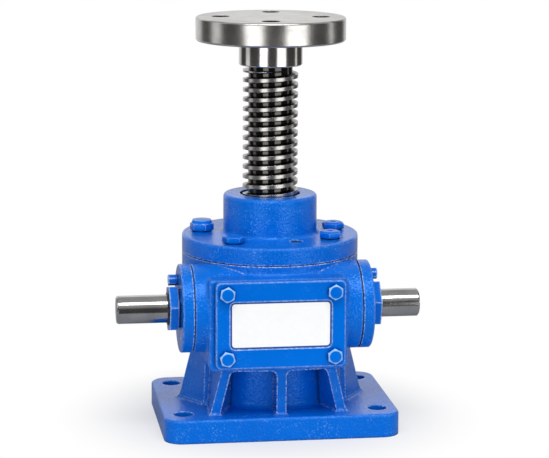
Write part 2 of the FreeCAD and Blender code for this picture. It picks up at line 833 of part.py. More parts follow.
def front_cover_plate():
    back = front_place()
    x0 = box_mid_x - front_half_x
    x1 = box_mid_x + front_half_x
    body = rounded_block(x0, x1, back - front_t, back, front_mid_z - front_h / 2,
                         front_mid_z + front_h / 2, front_corner_r, Y)
    rim = [e for e in body.Edges if e.BoundBox.YMax < back - front_t + 0.01]
    body = body.makeFillet(0.8, rim)
    hx = label_x / 2 + label_rim
    hz = label_z / 2 + label_rim
    depth = label_t + label_sink
    face = back - front_t
    sink = rounded_block(box_mid_x - hx, box_mid_x + hx, face - 1, face + depth,
                         front_mid_z - hz, front_mid_z + hz, 3.5, Y)
    holes = [sink]
    for x, z in bolt_places(front_bolt_x, front_bolt_z, box_mid_x, front_mid_z):
        holes.append(rod_y(front_bolt_r, face - 1, back + 1, x, z))
    return body.cut(holes)


def front_gasket():
    back = front_place()
    x0 = box_mid_x - front_half_x + 0.8
    x1 = box_mid_x + front_half_x - 0.8
    half_z = front_h / 2 - 0.8
    body = rounded_block(x0, x1, back, box_front_y, front_mid_z - half_z, front_mid_z + half_z,
                         front_corner_r - 0.8, Y)
    holes = [front_opening()]
    for x, z in bolt_places(front_bolt_x, front_bolt_z, box_mid_x, front_mid_z):
        holes.append(rod_y(front_bolt_r, back - 1, box_front_y + 1, x, z))
    return body.cut(holes)


def front_bolts():
    face = front_place() - front_t
    bolts = []
    for k, (x, z) in enumerate(bolt_places(front_bolt_x, front_bolt_z, box_mid_x, front_mid_z)):
        seat = Vector(x, face, z)
        bolts.append(hex_bolt(front_bolt_r, 14, 10.0, 4.2, seat, Y * -1, 12 * k))
    return Part.makeCompound(bolts)


def label_plate():
    face = front_place() - front_t + label_sink
    return rounded_block(box_mid_x - label_x / 2, box_mid_x + label_x / 2, face, face + label_t,
                         front_mid_z - label_z / 2, front_mid_z + label_z / 2, 2.2, Y)


# UNDERSIDE

def disc_screw_places():
    return [polar(disc_screw_circle, 45 + 90 * k) for k in range(4)]


def disc_screw_head(x, y):
    return Part.makeCone(2 * disc_screw_r, disc_screw_r, disc_screw_r, Vector(x, y, 0), Z)


def bottom_disc():
    body = rod_z(disc_r - loose, 0, disc_t)
    tools = []
    for x, y in disc_screw_places():
        tools.append(rod_z(disc_screw_r, -1, disc_t + 1, x, y))
        tools.append(disc_screw_head(x, y))
    return body.cut(tools)


def disc_screws():
    screws = []
    for x, y in disc_screw_places():
        shank = rod_z(disc_screw_r, disc_screw_r - 0.5, disc_screw_len, x, y)
        screw = disc_screw_head(x, y).fuse(shank).removeSplitter()
        socket = hexagon(3.0, 2.0, Vector(x, y, -0.3), Z)
        screws.append(screw.cut(socket))
    return Part.makeCompound(screws)


save("housing", housing())
save("top_cover", top_cover())
save("cover_gasket", cover_gasket())
save("cover_bolts", cover_bolts())
save("filler_plug", filler_plug())
save("grease_plug", grease_plug())
save("screw_wiper", screw_wiper())
save("lead_screw", lead_screw())
save("top_plate", top_plate())
save("plate_lock_screw", plate_lock_screw())
save("stop_washer", stop_washer())
save("stop_bolt", stop_bolt())
save("worm_wheel", worm_wheel())
save("worm_shaft", worm_shaft())

low_top = low_seat_z + low_h
save("low_bearing_housing_washer", ring_z(low_in_r + 0.7, low_out_r, low_seat_z, low_seat_z + washer_t))
save("low_bearing_shaft_washer", ring_z(low_in_r, low_out_r - 0.3, low_top - washer_t, low_top))
save("low_bearing_rollers", thrust_rollers(low_in_r, low_out_r, low_seat_z + washer_t,
                                           low_top - washer_t, 14))
up_top = up_bottom_z + up_h
save("up_bearing_shaft_washer", ring_z(up_in_r, up_out_r - 0.3, up_bottom_z, up_bottom_z + washer_t))
save("up_bearing_housing_washer", ring_z(up_in_r + 0.7, up_out_r, up_top - washer_t, up_top))
save("up_bearing_rollers", thrust_rollers(up_in_r, up_out_r, up_bottom_z + washer_t,
                                          up_top - washer_t, 14))

left_face, right_face = boss_ends()
outer, inner, rollers = side_bearing(box_mid_x - side_bearing_out)
save("left_bearing_outer_race", outer)
save("left_bearing_inner_race", inner)
save("left_bearing_rollers", rollers)
outer, inner, rollers = side_bearing(box_mid_x + side_bearing_out - side_bearing_w)
save("right_bearing_outer_race", outer)
save("right_bearing_inner_race", inner)
save("right_bearing_rollers", rollers)

for side, face, out in (("left", left_face, -1), ("right", right_face, 1)):
    save("bearing_cap_" + side, bearing_cap(face, out))
    save("cap_gasket_" + side, cap_gasket(face, out))
    save("gland_nut_" + side, gland_nut(face, out))
    save("shaft_seal_" + side, shaft_seal(face, out))
    save("nut_lock_bolt_" + side, lock_bolt(face, out))

save("front_cover_plate", front_cover_plate())
save("front_gasket", front_gasket())
save("front_cover_bolts", front_bolts())
save("label_plate", label_plate())
save("bottom_disc", bottom_disc())
save("bottom_disc_screws", disc_screws())
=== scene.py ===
import math

import bpy
from mathutils import Matrix, Vector


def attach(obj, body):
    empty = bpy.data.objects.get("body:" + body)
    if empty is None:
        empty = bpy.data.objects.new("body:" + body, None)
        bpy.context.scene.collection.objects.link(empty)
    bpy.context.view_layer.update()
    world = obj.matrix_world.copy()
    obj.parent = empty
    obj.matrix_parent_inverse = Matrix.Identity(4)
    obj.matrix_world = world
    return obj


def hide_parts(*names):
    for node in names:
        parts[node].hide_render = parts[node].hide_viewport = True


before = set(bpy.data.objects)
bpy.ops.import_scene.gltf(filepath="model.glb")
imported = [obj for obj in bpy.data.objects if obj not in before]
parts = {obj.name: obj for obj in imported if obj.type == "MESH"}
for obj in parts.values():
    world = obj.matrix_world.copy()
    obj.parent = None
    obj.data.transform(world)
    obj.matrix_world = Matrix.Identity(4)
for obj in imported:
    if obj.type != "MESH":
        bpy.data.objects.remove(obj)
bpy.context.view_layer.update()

# CAMERA
# The photograph looks at the front with the label, a little from the left and
# from just above the cover, through a long lens. Its horizon is tilted slightly.
camera_turn = math.radians(-8.155)
camera_lift = math.radians(10.535)
camera_roll = math.radians(0.262)
camera_distance = 1.6059
look_at = Vector((0, 0, 0.150))


def towards(turn, lift):
    """The direction out from the jack at this turn from the front and this angle above the floor."""
    return Vector((math.sin(turn) * math.cos(lift), -math.cos(turn) * math.cos(lift), math.sin(lift)))


photo_camera = bpy.data.cameras.new("photo_camera")
photo_camera.sensor_width = 36
photo_camera.lens = 144.66
photo_camera.shift_x = 0.00833
photo_camera.shift_y = -0.02573
photo_camera.clip_end = 100
camera = bpy.data.objects.new("photo_camera", photo_camera)
bpy.context.scene.collection.objects.link(camera)
back = towards(camera_turn, camera_lift)
camera.location = look_at + back * camera_distance
upright = back.to_track_quat("Z", "Y").to_matrix().to_4x4()
camera.rotation_euler = (upright @ Matrix.Rotation(camera_roll, 4, "Z")).to_euler()
bpy.context.scene.camera = camera
bpy.context.scene.view_settings.view_transform = "Standard"

# STUDIO
# A white sweep of paper that starts 30 cm in front of the lifting axis, two wide
# soft boxes low in front, a large one overhead, a faint diffuser by the camera
# and a narrow strip on each side.
sweep_half_width = 0.8
sweep_half_depth = 1.65
sweep_middle = 1.35
# How bright steel and gloss see the room in front of the jack, behind it and overhead.
front_shine = 0.06
backdrop_shine = 0.77
ceiling_shine = 0.35
# The light that ceiling and walls bounce back, mostly from above and in front.
bounce_from = (0.0, -0.5, 0.866)
least_bounce = 0.14
most_bounce = 0.70
# The paper is shaded as the eye sees it under the jack, and darker in reflections.
paper_seen = "DCDEE3"
paper_mirrored = "A4A6AB"


def tone(code):
    """An sRGB hex colour as linear light."""
    values = [int(code[i:i + 2], 16) / 255 for i in (0, 2, 4)]
    linear = [v / 12.92 if v <= 0.04045 else ((v + 0.055) / 1.055) ** 2.4 for v in values]
    return (*linear, 1.0)


def add(tree, kind, settings=None, **inputs):
    """Adds a node; inputs are values, or sockets to link from, by the input's name or number."""
    item = tree.nodes.new(kind)
    for name, value in (settings or {}).items():
        setattr(item, name, value)
    for name, value in inputs.items():
        plain = name.replace("_", " ")
        socket = item.inputs[int(name[1:])] if name[1:].isdigit() else item.inputs[plain]
        if isinstance(value, bpy.types.NodeSocket):
            tree.links.new(value, socket)
        else:
            socket.default_value = value
    return item


smooth = {"interpolation_type": "SMOOTHSTEP"}
room = bpy.data.worlds.new("studio_room")
bpy.context.scene.world = room
room.use_nodes = True
tree = room.node_tree
tree.nodes.clear()
way = add(tree, "ShaderNodeTexCoord").outputs["Generated"]
split = add(tree, "ShaderNodeSeparateXYZ", Vector=way)
behind = add(tree, "ShaderNodeMapRange", smooth, Value=split.outputs["Y"], From_Min=0.68, From_Max=0.84,
             To_Min=front_shine, To_Max=backdrop_shine)
high = add(tree, "ShaderNodeMapRange", smooth, Value=split.outputs["Z"], From_Min=0.20, From_Max=0.60,
           To_Min=0.0, To_Max=ceiling_shine)
shine = add(tree, "ShaderNodeMath", {"operation": "ADD"}, i0=behind.outputs[0], i1=high.outputs[0])
facing = add(tree, "ShaderNodeVectorMath", {"operation": "DOT_PRODUCT"}, i0=way, i1=bounce_from)
bounce = add(tree, "ShaderNodeMapRange", smooth, Value=facing.outputs["Value"], From_Min=0.2, From_Max=1.0,
             To_Min=least_bounce, To_Max=most_bounce)
path = add(tree, "ShaderNodeLightPath")
glow = add(tree, "ShaderNodeMix", {"data_type": "FLOAT"}, Factor=path.outputs["Is Glossy Ray"],
           A=bounce.outputs[0], B=shine.outputs[0])
# The eye sees the backdrop as plain white, straight on and through clear things.
seen = add(tree, "ShaderNodeMath", {"operation": "MAXIMUM"}, i0=path.outputs["Is Camera Ray"],
           i1=path.outputs["Is Transmission Ray"])
level = add(tree, "ShaderNodeMix", {"data_type": "FLOAT"}, Factor=seen.outputs[0], A=glow.outputs[0], B=1.0)
light = add(tree, "ShaderNodeBackground", Color=(1, 1, 1, 1), Strength=level.outputs[0])
add(tree, "ShaderNodeOutputWorld", Surface=light.outputs[0])

bpy.ops.object.select_all(action="DESELECT")
bpy.ops.mesh.primitive_plane_add(size=2)
floor = bpy.context.object
floor.name = "paper_sweep"
floor.data.transform(Matrix.Diagonal((sweep_half_width, sweep_half_depth, 1, 1)))
floor.data.transform(Matrix.Translation((0, sweep_middle, 0)))
paper = bpy.data.materials.new("white_background_paper")
paper.use_nodes = True
tree = paper.node_tree
tree.nodes.clear()
path = add(tree, "ShaderNodeLightPath")
shade = add(tree, "ShaderNodeMix", {"data_type": "RGBA"}, Factor=path.outputs["Is Glossy Ray"],
            i6=tone(paper_seen), i7=tone(paper_mirrored))
matt = add(tree, "ShaderNodeBsdfDiffuse", Color=shade.outputs["Result"])
# The sweep fades to the white of the backdrop: close to the jack for the eye, and
# further out in the reflections, which show the shaded paper under it.
spot = add(tree, "ShaderNodeTexCoord").outputs["Object"]
reach = add(tree, "ShaderNodeVectorMath", {"operation": "LENGTH"}, i0=spot)
near = add(tree, "ShaderNodeMapRange", smooth, Value=reach.outputs["Value"], From_Min=0.07, From_Max=0.165,
           To_Min=0.5, To_Max=1.0)
far = add(tree, "ShaderNodeMapRange", smooth, Value=reach.outputs["Value"], From_Min=0.5, From_Max=1.6,
          To_Min=0.0, To_Max=1.0)
eye = add(tree, "ShaderNodeMath", {"operation": "MULTIPLY"}, i0=path.outputs["Is Camera Ray"],
          i1=near.outputs[0])
mirror = add(tree, "ShaderNodeMath", {"operation": "MULTIPLY"}, i0=path.outputs["Is Glossy Ray"],
             i1=far.outputs[0])
lift = add(tree, "ShaderNodeMath", {"operation": "ADD"}, i0=eye.outputs[0], i1=mirror.outputs[0])
fill = add(tree, "ShaderNodeEmission", Color=(1, 1, 1, 1), Strength=1.0)
both = add(tree, "ShaderNodeMixShader", i0=lift.outputs[0], i1=matt.outputs[0], i2=fill.outputs[0])
add(tree, "ShaderNodeOutputMaterial", Surface=both.outputs[0])
floor.data.materials.append(paper)


def soft_box(name, turn, reach, height, width, tall, power, tip=0.0):
    """A lamp facing the lifting axis, its middle at this height; tip leans its face down."""
    lamp = bpy.data.lights.new(name, "AREA")
    lamp.shape = "RECTANGLE"
    lamp.size = width
    lamp.size_y = tall
    lamp.energy = power
    holder = bpy.data.objects.new(name, lamp)
    bpy.context.scene.collection.objects.link(holder)
    holder.location = towards(math.radians(turn), 0) * reach + Vector((0, 0, height))
    face = towards(math.radians(turn), math.radians(tip))
    holder.rotation_euler = face.to_track_quat("Z", "Y").to_euler()
    return holder


soft_box("left_soft_box", turn=-33, reach=1.8, height=0.05, width=0.86, tall=0.7, power=4.2)
soft_box("right_soft_box", turn=32, reach=1.8, height=0.05, width=1.06, tall=0.7, power=4.8)
soft_box("overhead_soft_box", turn=-6, reach=0.95, height=1.70, width=2.0, tall=0.6, power=21, tip=58)
# The diffuser fills the hollows and is too faint to see in the steel.
diffuser = soft_box("front_diffuser", turn=-2, reach=1.6, height=0.45, width=1.2, tall=0.7, power=2.5, tip=12)
diffuser.visible_glossy = False
soft_box("left_side_strip", turn=-98, reach=1.8, height=0.6, width=0.60, tall=1.6, power=2.5)
soft_box("right_side_strip", turn=96, reach=1.8, height=0.6, width=0.30, tall=1.6, power=1.4)

# HOUSING
# Grey iron, sand cast in one piece with its base, ribs and bosses, and sprayed
# with glossy blue enamel that keeps the grain of the sand.
enamel_blue = tone("0070DC")
enamel_deep = tone("0064CE")
# The worn colour stands partly for paint worn thin on the edges and partly for a painted highlight along
# them.
enamel_edge_wear_and_highlight = tone("D8ECFF")
# The light-blue specks on the grain are painted glints.
enamel_glint = tone("8CC6FB")
# The darkest blue is painted shade for the corners.
enamel_corner_shade = tone("002A66")
spray_drift = 0.035
# Sand grains are under a millimetre; they are drawn a little larger so that they show.
sand_grain = 0.0014
sand_pit = 5 * sand_grain
grain_top = 0.0011
grain_patch = 0.014
paint_chip = 0.0016
# How far the painted shade reaches out of a corner.
corner_shade_reach = 0.003


def enamel(name, grain_depth, rough, gloss, tint, glint, edge_r, bare):
    """Glossy enamel: even colour and wet shine, light-blue painted glints on the grain, edges partly worn
    bare and partly painted as highlights, and painted shade in the corners.

    gloss and tint set how strong and how blue its shine is.
    """
    material = bpy.data.materials.new(name)
    material.use_nodes = True
    tree = material.node_tree
    tree.nodes.clear()
    place = add(tree, "ShaderNodeTexCoord").outputs["Object"]
    drift = add(tree, "ShaderNodeTexNoise", Vector=place, Scale=1 / spray_drift, Detail=3.0)
    body = add(tree, "ShaderNodeMix", {"data_type": "RGBA"}, Factor=drift.outputs["Fac"],
               i6=enamel_deep, i7=enamel_blue)
    # Sand grain of the casting, with the odd larger pit.
    grain = add(tree, "ShaderNodeTexNoise", Vector=place, Scale=1 / sand_grain, Detail=1.0)
    pits = add(tree, "ShaderNodeTexNoise", Vector=place, Scale=1 / sand_pit, Detail=1.0)
    relief = add(tree, "ShaderNodeMath", {"operation": "MULTIPLY_ADD"}, i0=pits.outputs["Fac"], i1=0.4,
                 i2=grain.outputs["Fac"])
    round_edge = add(tree, "ShaderNodeBevel", {"samples": 6}, Radius=edge_r)
    bump = add(tree, "ShaderNodeBump", Height=relief.outputs[0], Strength=1.0, Distance=grain_depth,
               Normal=round_edge.outputs[0])
    # An edge is where the rounded normal leaves the face's own; its light-blue colour is partly paint worn
    # thin and partly a painted highlight.
    face = add(tree, "ShaderNodeNewGeometry")
    agree = add(tree, "ShaderNodeVectorMath", {"operation": "DOT_PRODUCT"}, i0=round_edge.outputs[0],
                i1=face.outputs["Normal"])
    edge = add(tree, "ShaderNodeMapRange", Value=agree.outputs["Value"], From_Min=0.996, From_Max=0.92,
               To_Min=0.0, To_Max=1.0)
    patchy = add(tree, "ShaderNodeTexNoise", Vector=place, Scale=1 / paint_chip, Detail=2.0)
    chips = add(tree, "ShaderNodeMapRange", Value=patchy.outputs["Fac"], From_Min=0.42, From_Max=0.60,
                To_Min=bare, To_Max=1.0)
    # Painted shade darkens the enamel in corners and along joints, and the light-blue edge colour is kept out
    # of them.
    shelter = add(tree, "ShaderNodeAmbientOcclusion", {"samples": 6}, Distance=corner_shade_reach)
    corner_shade = add(tree, "ShaderNodeMapRange", Value=shelter.outputs["AO"], From_Min=0.80, From_Max=0.35,
                To_Min=0.0, To_Max=0.85)
    unsheltered = add(tree, "ShaderNodeMapRange", Value=shelter.outputs["AO"], From_Min=0.60, From_Max=0.85)
    open_edge = add(tree, "ShaderNodeMath", {"operation": "MULTIPLY"}, i0=edge.outputs[0],
                    i1=unsheltered.outputs[0])
    edge_wear_and_highlight = add(tree, "ShaderNodeMath", {"operation": "MULTIPLY"}, i0=open_edge.outputs[0],
               i1=chips.outputs[0])
    # Light-blue painted glints on the tops of the larger grains stand in for the light that they catch.
    tops = add(tree, "ShaderNodeTexNoise", Vector=place, Scale=1 / grain_top, Detail=0.0)
    glint_crowns = add(tree, "ShaderNodeMapRange", Value=tops.outputs["Fac"], From_Min=0.62, From_Max=0.74,
                 To_Min=0.0, To_Max=glint)
    patches = add(tree, "ShaderNodeTexNoise", Vector=place, Scale=1 / grain_patch, Detail=2.0)
    coarse = add(tree, "ShaderNodeMapRange", Value=patches.outputs["Fac"], From_Min=0.46, From_Max=0.62)
    painted_glints = add(tree, "ShaderNodeMath", {"operation": "MULTIPLY"}, i0=glint_crowns.outputs[0],
               i1=coarse.outputs[0])
    glinted = add(tree, "ShaderNodeMix", {"data_type": "RGBA"}, Factor=painted_glints.outputs[0],
                   i6=body.outputs["Result"], i7=enamel_glint)
    # Edges: partly worn paint, partly painted highlight.
    worn = add(tree, "ShaderNodeMix", {"data_type": "RGBA"}, Factor=edge_wear_and_highlight.outputs[0],
               i6=glinted.outputs["Result"], i7=enamel_edge_wear_and_highlight)
    corner_shaded = add(tree, "ShaderNodeMix", {"data_type": "RGBA"}, Factor=corner_shade.outputs[0],
                i6=worn.outputs["Result"], i7=enamel_corner_shade)
    paint = add(tree, "ShaderNodeBsdfPrincipled", Base_Color=corner_shaded.outputs["Result"], Roughness=rough,
                IOR=1.5, Specular_IOR_Level=gloss, Specular_Tint=tone(tint), Normal=bump.outputs[0])
    add(tree, "ShaderNodeOutputMaterial", Surface=paint.outputs[0])
    return material


cast_enamel = enamel("blue_enamel_on_sand_casting", grain_depth=0.00046, rough=0.06, gloss=0.8,
                     tint="84BCFF", glint=0.24, edge_r=0.0015, bare=0.1)
smooth_enamel = enamel("blue_enamel_on_machined_iron", grain_depth=0.00008, rough=0.12, gloss=0.5,
                       tint="8CC0FF", glint=0.06, edge_r=0.0016, bare=0.4)
screw_enamel = enamel("blue_enamel_on_forged_steel", grain_depth=0.00002, rough=0.12, gloss=0.35,
                      tint="8CC0FF", glint=0.0, edge_r=0.0006, bare=0.8)


def finish(node, material):
    """Gives a CAD node its material."""
    slots = parts[node].data.materials
    slots.clear()
    slots.append(material)


finish("housing", cast_enamel)

# TOP COVER
# A turned iron casting with the collar that guides the screw. It is bolted on
# over a thin gasket and painted with the housing.
finish("top_cover", cast_enamel)

# COVER BOLTS
# Five forged steel hexagon screws with chamfered heads and a punched centre,
# painted over after they were tightened.
cover_top = 0.1375
bolt_ring = 0.0485
bolt_flats = 0.0145
bolt_head = 0.0053
bolt_face_r = 0.0060
bolt_shank_r = 0.004
bolt_shank = 0.022
punch_tip_r = 0.0008
punch_mouth_r = 0.0024
punch_tall = 0.0014
punch_sink = 0.0006
# Each bolt's angle on the ring and the turn of its head, in degrees.
bolt_places = ((-130.0, 22), (-35.0, 48), (9.0, 5), (60.0, 31), (112.0, 14))
# A head's chamfers rise by 30 degrees; the lower one starts at this share of the flats.
chamfer_slope = 0.577
foot_share = 0.46
# How far the chamfering cones stand past the head, and the shank into it.
past_head = 0.002
into_head = 0.001
round_facets = 72
shank_facets = 32


def grab(name):
    """Names the piece that was added last."""
    piece = bpy.context.object
    piece.name = name
    piece.data.name = name
    return piece


def carve(piece, tool, operation):
    """Crosses, joins or cuts a closed piece with another one, which is used up."""
    step = piece.modifiers.new("carve", "BOOLEAN")
    step.operation = operation
    step.solver = "EXACT"
    step.object = tool
    bpy.ops.object.select_all(action="DESELECT")
    piece.select_set(True)
    bpy.context.view_layer.objects.active = piece
    bpy.ops.object.modifier_apply(modifier="carve")
    bpy.data.objects.remove(tool)


def soften(piece, radius):
    """Rounds the edges of the active piece and smooths what is meant to be round."""
    rounding = piece.modifiers.new("rounding", "BEVEL")
    rounding.width = radius
    rounding.segments = 2
    rounding.limit_method = "ANGLE"
    rounding.angle_limit = math.radians(20)
    bpy.ops.object.modifier_apply(modifier="rounding")
    bpy.ops.object.shade_smooth_by_angle(angle=math.radians(32))


def hex_screw(name, flats, height, face_r, shank_r, shank):
    """A hexagon screw standing on the origin, its head chamfered at both ends."""
    corner = flats / math.sqrt(3)
    tall = height + past_head
    foot_r = foot_share * flats
    bpy.ops.object.select_all(action="DESELECT")
    bpy.ops.mesh.primitive_cylinder_add(vertices=6, radius=corner, depth=height,
                                        location=(0, 0, height / 2))
    bpy.ops.object.transform_apply(location=True, rotation=True, scale=True)
    screw = grab(name)
    bpy.ops.mesh.primitive_cone_add(vertices=round_facets, radius1=face_r + tall / chamfer_slope,
                                    radius2=face_r, depth=tall, location=(0, 0, height - tall / 2))
    carve(screw, bpy.context.object, "INTERSECT")
    bpy.ops.mesh.primitive_cone_add(vertices=round_facets, radius1=foot_r,
                                    radius2=foot_r + tall / chamfer_slope, depth=tall,
                                    location=(0, 0, tall / 2))
    carve(screw, bpy.context.object, "INTERSECT")
    bpy.ops.mesh.primitive_cylinder_add(vertices=shank_facets, radius=shank_r, depth=shank + into_head,
                                        location=(0, 0, (into_head - shank) / 2))
    carve(screw, bpy.context.object, "UNION")
    return screw


def set_in(pattern, name, matrix, node, body="housing"):
    """Copies a fastener to its place on the jack; the copy stands for its CAD node."""
    piece = pattern.copy()
    piece.data = pattern.data.copy()
    piece.name = name
    bpy.context.scene.collection.objects.link(piece)
    piece.data.transform(matrix)
    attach(piece, body)
    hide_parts(node)


def at(x, y, z):
    return Matrix.Translation((x, y, z))


def turned(degrees, axis):
    return Matrix.Rotation(math.radians(degrees), 4, axis)


def on_cover(angle, ring):
    """A place on the cover at this angle from the right and this far from the lifting axis."""
    out = towards(math.radians(angle + 90), 0) * ring
    return at(out.x, out.y, cover_top)


cover_screw = hex_screw("cover_screw", bolt_flats, bolt_head, bolt_face_r, bolt_shank_r, bolt_shank)
bpy.ops.mesh.primitive_cone_add(vertices=shank_facets, radius1=punch_tip_r, radius2=punch_mouth_r,
                                depth=punch_tall, location=(0, 0, bolt_head - punch_sink))
carve(cover_screw, bpy.context.object, "DIFFERENCE")
soften(cover_screw, radius=0.0002)
cover_screw.data.materials.append(screw_enamel)
for k, (angle, turn) in enumerate(bolt_places):
    stand = on_cover(angle, bolt_ring) @ turned(turn, "Z")
    set_in(cover_screw, f"cover_screw_{k + 1}", stand, "cover_bolts")
bpy.data.objects.remove(cover_screw)

# FILLER PLUG
# A large hexagon plug for the oil, with a turned dome over its hexagon. It is
# painted with the cover.
plug_angle = 166.0
plug_ring = 0.050
plug_turn = 12
dome_foot_r = 0.0078
dome_top_r = 0.0069
dome_tall = 0.0028
dome_middle = 0.0067
plug = hex_screw("oil_plug", flats=0.0154, height=0.0056, face_r=0.0080, shank_r=0.006, shank=0.016)
bpy.ops.mesh.primitive_cone_add(vertices=round_facets, radius1=dome_foot_r, radius2=dome_top_r,
                                depth=dome_tall, location=(0, 0, dome_middle))
carve(plug, bpy.context.object, "UNION")
soften(plug, radius=0.00035)
plug.data.materials.append(screw_enamel)
set_in(plug, "oil_filler_plug", on_cover(plug_angle, plug_ring) @ turned(plug_turn, "Z"), "filler_plug")
bpy.data.objects.remove(plug)

# BEARING CAPS AND FRONT COVER
# Turned iron caps that hold the worm's bearings, each with a gland nut and the
# bolt that locks it, and a milled iron plate over the gears. All are painted in
# place with the housing.
for node in ("bearing_cap_left", "bearing_cap_right"):
    finish(node, cast_enamel)
for node in ("gland_nut_left", "gland_nut_right", "nut_lock_bolt_left", "nut_lock_bolt_right",
             "front_cover_plate"):
    finish(node, smooth_enamel)

# FRONT COVER SCREWS
# Four forged steel hexagon screws with tall heads and a wide chamfer. They hold the front plate, and their
# chamfers are painted light blue as a highlight, where the spray also runs thin.
front_face = -0.0795
# Each screw's x and z, and the turn of its head in degrees.
front_screw_places = ((-0.041, 0.1095, -7), (0.035, 0.1095, -2), (-0.041, 0.0635, 16), (0.035, 0.0635, 4))
# A chamfer's normal points this far up along the screw: neither side nor end face.
chamfer_least = 0.80
chamfer_most = 0.93


def plain_surface(name, colour, other, grain, depth, rough, metal=0.0):
    """A surface clouded between two colours, with a relief of the same grain."""
    material = bpy.data.materials.new(name)
    material.use_nodes = True
    tree = material.node_tree
    tree.nodes.clear()
    place = add(tree, "ShaderNodeTexCoord").outputs["Object"]
    cloud = add(tree, "ShaderNodeTexNoise", Vector=place, Scale=1 / grain, Detail=4.0)
    mixed = add(tree, "ShaderNodeMix", {"data_type": "RGBA"}, Factor=cloud.outputs["Fac"],
                i6=tone(colour), i7=tone(other))
    bump = add(tree, "ShaderNodeBump", Height=cloud.outputs["Fac"], Strength=0.6, Distance=depth)
    skin = add(tree, "ShaderNodeBsdfPrincipled", Base_Color=mixed.outputs["Result"], Roughness=rough,
               Metallic=metal, Normal=bump.outputs[0])
    add(tree, "ShaderNodeOutputMaterial", Surface=skin.outputs[0])
    return material


front_screw = hex_screw("front_screw", flats=0.010, height=0.0042, face_r=0.0041, shank_r=0.003, shank=0.014)
soften(front_screw, radius=0.0002)
front_screw.data.materials.append(screw_enamel)
# The chamfers get a light-blue painted highlight.
chamfer_highlight_enamel = plain_surface("blue_enamel_painted_chamfer_highlight", "A8CDF6", "6FA8E8", grain=0.0015,
                            depth=0.00001, rough=0.20)
front_screw.data.materials.append(chamfer_highlight_enamel)
for side in front_screw.data.polygons:
    if chamfer_least < side.normal.z < chamfer_most:
        side.material_index = 1
for k, (x, z, turn) in enumerate(front_screw_places):
    stand = at(x, front_face, z) @ turned(90, "X") @ turned(turn, "Z")
    set_in(front_screw, f"front_cover_screw_{k + 1}", stand, "front_cover_bolts")
bpy.data.objects.remove(front_screw)

# GASKETS AND SEALS
# Gasket paper cut to shape, dark with oil, is clamped in the joints. Moulded
# rings of black nitrile rubber are pressed in round the shafts and the screw.
gasket_paper = plain_surface("oiled_gasket_paper", "14161A", "24272C", grain=0.0012, depth=0.00005,
                             rough=0.7)
nitrile = plain_surface("moulded_nitrile_rubber", "0C0C0D", "1A1A1B", grain=0.0008, depth=0.00002,
                        rough=0.32)
for node in ("cover_gasket", "cap_gasket_left", "cap_gasket_right", "front_gasket"):
    finish(node, gasket_paper)
for node in ("shaft_seal_left", "shaft_seal_right", "screw_wiper"):
    finish(node, nitrile)

# TURNED STEEL
# The top plate and the worm shaft are bare steel from the lathe. The fine
# grooves run round the axis and draw each reflection out across them.
worm_axis_y = -0.0425
worm_axis_z = 0.092
steel_cloud = 0.012
steel_edge_r = 0.0004
groove_depth = 0.00001
# Up to the first radius a piece is finely turned, and past the second coarsely.
fine_feed_r = 0.030
coarse_feed_r = 0.045


def lathe_steel(name, axis, light, dark, rough, rim_rough, groove):
    """Steel turned round this axis; groove is the spacing, drawn wide enough to show."""
    material = bpy.data.materials.new(name)
    material.use_nodes = True
    tree = material.node_tree
    tree.nodes.clear()
    place = add(tree, "ShaderNodeTexCoord").outputs["Object"]
    if axis == "X":
        place = add(tree, "ShaderNodeMapping", Vector=place,
                    Location=(0, -worm_axis_y, -worm_axis_z)).outputs[0]
    apart = add(tree, "ShaderNodeSeparateXYZ", Vector=place)
    # Grooves repeat along the axis and, on end faces, along the radius.
    along = apart.outputs[axis]
    others = [apart.outputs[k] for k in "XYZ" if k != axis]
    flat = add(tree, "ShaderNodeCombineXYZ", X=others[0], Y=others[1])
    radius = add(tree, "ShaderNodeVectorMath", {"operation": "LENGTH"}, i0=flat.outputs[0])
    reach = add(tree, "ShaderNodeMath", {"operation": "ADD"}, i0=along, i1=radius.outputs["Value"])
    line = add(tree, "ShaderNodeCombineXYZ", X=reach.outputs[0])
    marks = add(tree, "ShaderNodeTexNoise", Vector=line.outputs[0], Scale=1 / groove, Detail=3.0,
                Roughness=0.7)
    cloud = add(tree, "ShaderNodeTexNoise", Vector=place, Scale=1 / steel_cloud, Detail=3.0)
    blend = add(tree, "ShaderNodeMath", {"operation": "MULTIPLY_ADD"}, i0=marks.outputs["Fac"], i1=0.5,
                i2=cloud.outputs["Fac"])
    shade = add(tree, "ShaderNodeMapRange", Value=blend.outputs[0], From_Min=0.45, From_Max=1.05)
    colour = add(tree, "ShaderNodeMix", {"data_type": "RGBA"}, Factor=shade.outputs[0],
                 i6=tone(dark), i7=tone(light))
    rounded = add(tree, "ShaderNodeBevel", {"samples": 4}, Radius=steel_edge_r)
    bump = add(tree, "ShaderNodeBump", Height=marks.outputs["Fac"], Strength=0.5, Distance=groove_depth,
               Normal=rounded.outputs[0])
    spin = add(tree, "ShaderNodeTangent", {"direction_type": "RADIAL", "axis": axis})
    # Wide diameters are turned with a coarser feed, so they shine more softly.
    feed = add(tree, "ShaderNodeMapRange", Value=radius.outputs["Value"], From_Min=fine_feed_r,
               From_Max=coarse_feed_r, To_Min=rough, To_Max=rim_rough)
    metal = add(tree, "ShaderNodeBsdfPrincipled", Base_Color=colour.outputs["Result"], Metallic=1.0,
                Roughness=feed.outputs[0], Anisotropic=0.35, Normal=bump.outputs[0],
                Tangent=spin.outputs[0])
    add(tree, "ShaderNodeOutputMaterial", Surface=metal.outputs[0])
    return material


